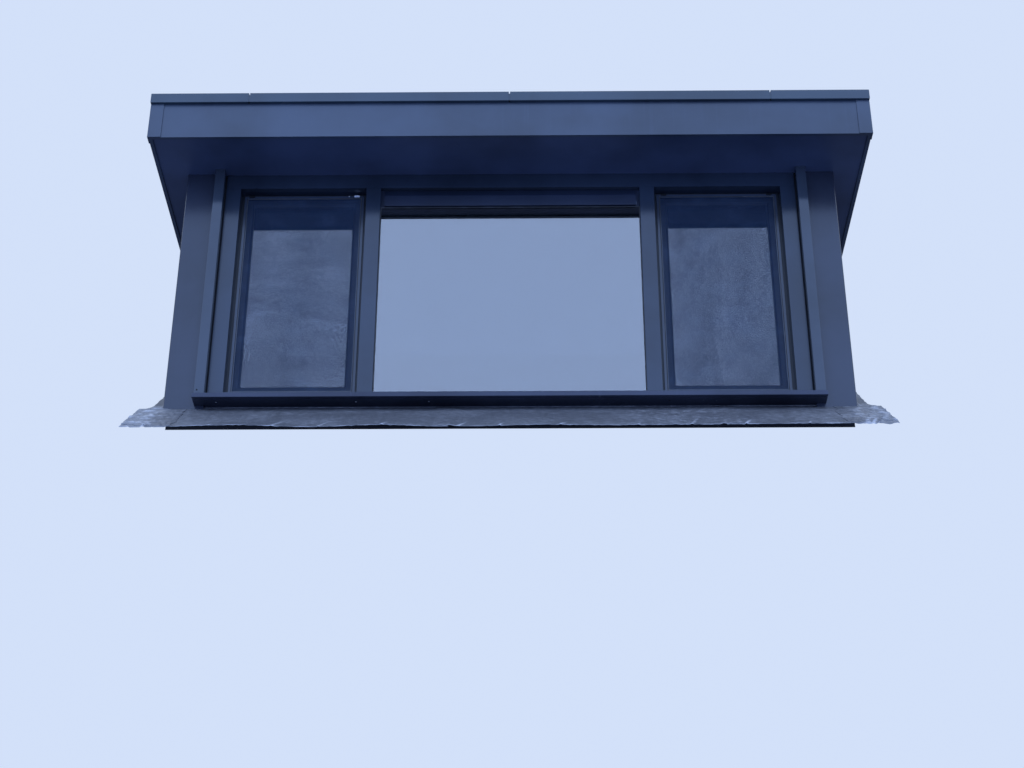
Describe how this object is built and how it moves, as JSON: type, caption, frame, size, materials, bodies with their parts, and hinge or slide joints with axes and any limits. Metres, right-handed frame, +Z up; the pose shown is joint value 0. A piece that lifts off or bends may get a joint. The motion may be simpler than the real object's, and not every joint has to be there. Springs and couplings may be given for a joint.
{
  "type": "dormer window",
  "caption": "Flat-roofed dormer window for a pitched roof, with a wide three-light window, insect screens, deep fascia, clad cheeks and a lead apron.",
  "frame": {"origin": "on the sloping underside of the front sole, at mid-width and mid-depth", "axes": "+X to the right as seen from the street, +Y back into the roof, +Z up"},
  "size_m": [3.618, 2.5591, 2.0351],
  "materials": {
    "timber": "planed softwood",
    "panel_board": "pressed strand board",
    "batten_wood": "sawn, tinted green by preservative",
    "lining_board": "painted matt white",
    "cladding": "matt dark grey",
    "fascia_board": "matt dark grey",
    "soffit_board": "matt dark grey",
    "casing_board": "matt dark grey",
    "window_frame": "fine wood grain, dark grey",
    "roof_trim": "satin dark grey",
    "vent_metal": "satin dark grey",
    "screen_frame": "satin dark grey",
    "screen_cloth": "woven glass fibre",
    "glazing": "clear",
    "spacer_metal": "satin, with a rim of black sealant",
    "handle_metal": "satin",
    "membrane": "matt",
    "lead": "weathered lead sheet"
  },
  "bodies": {
    "root": {"ceiling_lining": "lining_board", "centre_glass": "glazing", "centre_glazing_bead": "window_frame", "cheek_battens": "batten_wood", "cheek_soles": "timber", "corner_posts": "timber", "fascia_corners": "fascia_board", "frame_bottom_rail": "window_frame", "frame_head": "window_frame", "front_fascia": "fascia_board", "front_roof_trim": "roof_trim", "front_sill": "casing_board", "front_sole": "timber", "glazing_spacers": "spacer_metal", "lead_apron": "lead", "left_casing": "casing_board", "left_cheek_cladding": "cladding", "left_cheek_core": "panel_board", "left_cheek_lining": "lining_board", "left_cover_strip": "casing_board", "left_fascia": "fascia_board", "left_glass": "glazing", "left_jamb": "window_frame", "left_lead_flashing": "lead", "left_mullion": "window_frame", "left_roof_trim": "roof_trim", "left_sash": "window_frame", "left_screen_cloth": "screen_cloth", "left_screen_frame": "screen_frame", "rear_header": "timber", "right_casing": "casing_board", "right_cheek_cladding": "cladding", "right_cheek_core": "panel_board", "right_cheek_lining": "lining_board", "right_cover_strip": "casing_board", "right_fascia": "fascia_board", "right_glass": "glazing", "right_jamb": "window_frame", "right_lead_flashing": "lead", "right_mullion": "window_frame", "right_roof_trim": "roof_trim", "right_sash": "window_frame", "right_screen_cloth": "screen_cloth", "right_screen_frame": "screen_frame", "roof_deck": "panel_board", "roof_joists": "timber", "roof_kerb": "timber", "roof_membrane": "membrane", "roof_rim": "timber", "sash_handles": "handle_metal", "soffit": "soffit_board", "trim_joint_plates": "roof_trim", "vent_grille": "vent_metal", "window_board": "lining_board"}
  },
  "joints": []
}
